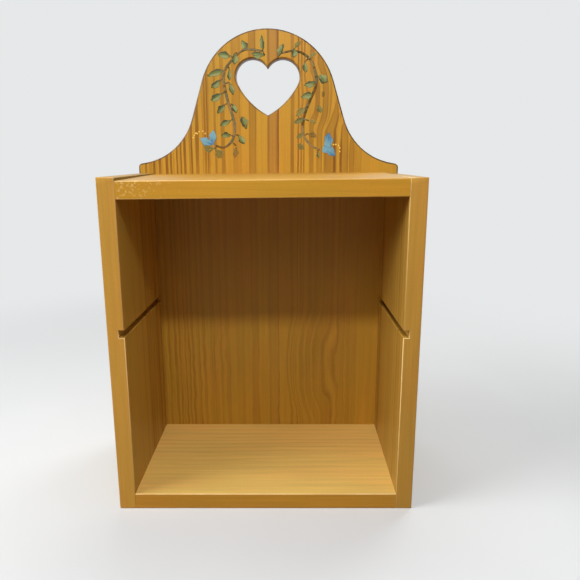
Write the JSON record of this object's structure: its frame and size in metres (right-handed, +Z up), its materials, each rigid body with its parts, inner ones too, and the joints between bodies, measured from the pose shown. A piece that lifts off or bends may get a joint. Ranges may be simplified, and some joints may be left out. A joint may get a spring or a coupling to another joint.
{
  "type": "spice box",
  "caption": "Open-fronted pine wall box with an arched back board, a heart cut-out to hang it by, and facing grooves inside for a shelf.",
  "frame": {"origin": "middle of the box's footprint, on the surface that it stands on", "axes": "+Z up, +X to the right seen from the open front, +Y towards the wall behind it"},
  "size_m": [0.2286, 0.1316, 0.373],
  "materials": {
    "back_pine": "honey lacquer, upright grain",
    "side_pine": "honey lacquer, upright grain, worn edges",
    "level_pine": "honey lacquer, grain from side to side",
    "nail_steel": "dull and darkened"
  },
  "bodies": {
    "root": {"back_board": "back_pine", "left_side": "side_pine", "right_side": "side_pine", "top_board": "level_pine", "bottom_board": "level_pine", "left_top_nails": "nail_steel", "left_bottom_nails": "nail_steel", "right_top_nails": "nail_steel", "right_bottom_nails": "nail_steel", "back_left_nails": "nail_steel", "back_right_nails": "nail_steel", "back_top_nails": "nail_steel", "back_bottom_nails": "nail_steel"}
  },
  "joints": []
}
